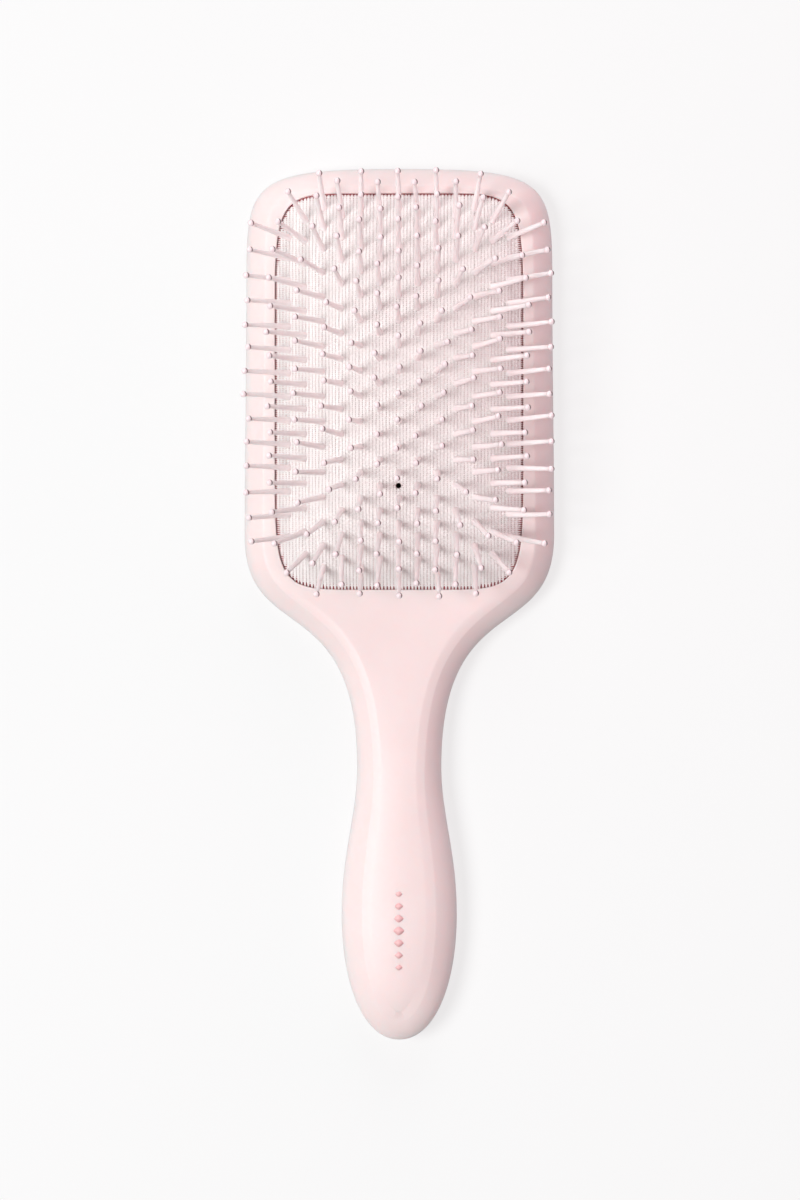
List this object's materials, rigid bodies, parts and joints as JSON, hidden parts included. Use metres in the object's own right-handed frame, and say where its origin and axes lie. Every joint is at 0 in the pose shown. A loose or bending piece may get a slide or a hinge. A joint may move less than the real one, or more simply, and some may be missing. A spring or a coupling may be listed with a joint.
{
  "type": "paddle hair brush",
  "caption": "Paddle hair brush: flat rounded head with an air cushion of ball-tipped pins on a woven facing, and a waisted handle.",
  "frame": {"origin": "on the plane the brush lies on, under the middle of the cushion", "axes": "+X across the head, +Y from the handle to the head end, +Z out of the back plane the way the pins point"},
  "size_m": [0.0872, 0.245, 0.0435],
  "materials": {
    "body": "soft satin paint, pale pink",
    "rubber": "matt pink rubber with a darker red bead",
    "mesh": "fine ribbed weave, off-white with a pink tint",
    "pins": "satin nylon, very pale pink"
  },
  "bodies": {
    "brush_body": {"front_shell": "body", "back_shell": "body", "cushion_pad": "rubber", "mesh_facing": "mesh"},
    "pin_group_01": {"pins_01": "pins"},
    "pin_group_02": {"pins_02": "pins"},
    "pin_group_03": {"pins_03": "pins"},
    "pin_group_04": {"pins_04": "pins"},
    "pin_group_05": {"pins_05": "pins"},
    "pin_group_06": {"pins_06": "pins"},
    "pin_group_07": {"pins_07": "pins"},
    "pin_group_08": {"pins_08": "pins"},
    "pin_group_09": {"pins_09": "pins"},
    "pin_group_10": {"pins_10": "pins"},
    "pin_group_11": {"pins_11": "pins"},
    "pin_group_12": {"pins_12": "pins"},
    "pin_group_13": {"pins_13": "pins"},
    "pin_group_14": {"pins_14": "pins"},
    "pin_group_15": {"pins_15": "pins"},
    "pin_group_16": {"pins_16": "pins"},
    "pin_group_17": {"pins_17": "pins"}
  },
  "joints": [
    {"name": "cushion_press", "type": "slide", "parent": "brush_body", "child": "pin_group_01", "axis": [0, 0, -1], "range_m": [0, 0.0045], "stiffness_N_per_m": 40, "deforming": ["cushion_pad", "mesh_facing"]},
    {"name": "press_02", "type": "slide", "parent": "brush_body", "child": "pin_group_02", "axis": [0, 0, -1], "range_m": [0, 0.00436], "stiffness_N_per_m": 40},
    {"name": "press_03", "type": "slide", "parent": "brush_body", "child": "pin_group_03", "axis": [0, 0, -1], "range_m": [0, 0.00418], "stiffness_N_per_m": 40},
    {"name": "press_04", "type": "slide", "parent": "brush_body", "child": "pin_group_04", "axis": [0, 0, -1], "range_m": [0, 0.00398], "stiffness_N_per_m": 40},
    {"name": "press_05", "type": "slide", "parent": "brush_body", "child": "pin_group_05", "axis": [0, 0, -1], "range_m": [0, 0.00382], "stiffness_N_per_m": 40},
    {"name": "press_06", "type": "slide", "parent": "brush_body", "child": "pin_group_06", "axis": [0, 0, -1], "range_m": [0, 0.00345], "stiffness_N_per_m": 40},
    {"name": "press_07", "type": "slide", "parent": "brush_body", "child": "pin_group_07", "axis": [0, 0, -1], "range_m": [0, 0.00334], "stiffness_N_per_m": 40},
    {"name": "press_08", "type": "slide", "parent": "brush_body", "child": "pin_group_08", "axis": [0, 0, -1], "range_m": [0, 0.00312], "stiffness_N_per_m": 40},
    {"name": "press_09", "type": "slide", "parent": "brush_body", "child": "pin_group_09", "axis": [0, 0, -1], "range_m": [0, 0.0027], "stiffness_N_per_m": 40},
    {"name": "press_10", "type": "slide", "parent": "brush_body", "child": "pin_group_10", "axis": [0, 0, -1], "range_m": [0, 0.00243], "stiffness_N_per_m": 40},
    {"name": "press_11", "type": "slide", "parent": "brush_body", "child": "pin_group_11", "axis": [0, 0, -1], "range_m": [0, 0.00235], "stiffness_N_per_m": 40},
    {"name": "press_12", "type": "slide", "parent": "brush_body", "child": "pin_group_12", "axis": [0, 0, -1], "range_m": [0, 0.00206], "stiffness_N_per_m": 40},
    {"name": "press_13", "type": "slide", "parent": "brush_body", "child": "pin_group_13", "axis": [0, 0, -1], "range_m": [0, 0.00163], "stiffness_N_per_m": 40},
    {"name": "press_14", "type": "slide", "parent": "brush_body", "child": "pin_group_14", "axis": [0, 0, -1], "range_m": [0, 0.00131], "stiffness_N_per_m": 40},
    {"name": "press_15", "type": "slide", "parent": "brush_body", "child": "pin_group_15", "axis": [0, 0, -1], "range_m": [0, 0.00128], "stiffness_N_per_m": 40},
    {"name": "press_16", "type": "slide", "parent": "brush_body", "child": "pin_group_16", "axis": [0, 0, -1], "range_m": [0, 0.00113], "stiffness_N_per_m": 40},
    {"name": "press_17", "type": "slide", "parent": "brush_body", "child": "pin_group_17", "axis": [0, 0, -1], "range_m": [0, 0.000857], "stiffness_N_per_m": 40}
  ],
  "couplings": [
    {"joint": "press_02", "follows": "cushion_press", "ratio": 0.9681},
    {"joint": "press_03", "follows": "cushion_press", "ratio": 0.9294},
    {"joint": "press_04", "follows": "cushion_press", "ratio": 0.8828},
    {"joint": "press_05", "follows": "cushion_press", "ratio": 0.8487},
    {"joint": "press_06", "follows": "cushion_press", "ratio": 0.7652},
    {"joint": "press_07", "follows": "cushion_press", "ratio": 0.741},
    {"joint": "press_08", "follows": "cushion_press", "ratio": 0.6939},
    {"joint": "press_09", "follows": "cushion_press", "ratio": 0.5992},
    {"joint": "press_10", "follows": "cushion_press", "ratio": 0.5399},
    {"joint": "press_11", "follows": "cushion_press", "ratio": 0.5229},
    {"joint": "press_12", "follows": "cushion_press", "ratio": 0.4577},
    {"joint": "press_13", "follows": "cushion_press", "ratio": 0.3624},
    {"joint": "press_14", "follows": "cushion_press", "ratio": 0.2911},
    {"joint": "press_15", "follows": "cushion_press", "ratio": 0.2831},
    {"joint": "press_16", "follows": "cushion_press", "ratio": 0.2499},
    {"joint": "press_17", "follows": "cushion_press", "ratio": 0.1901}
  ]
}
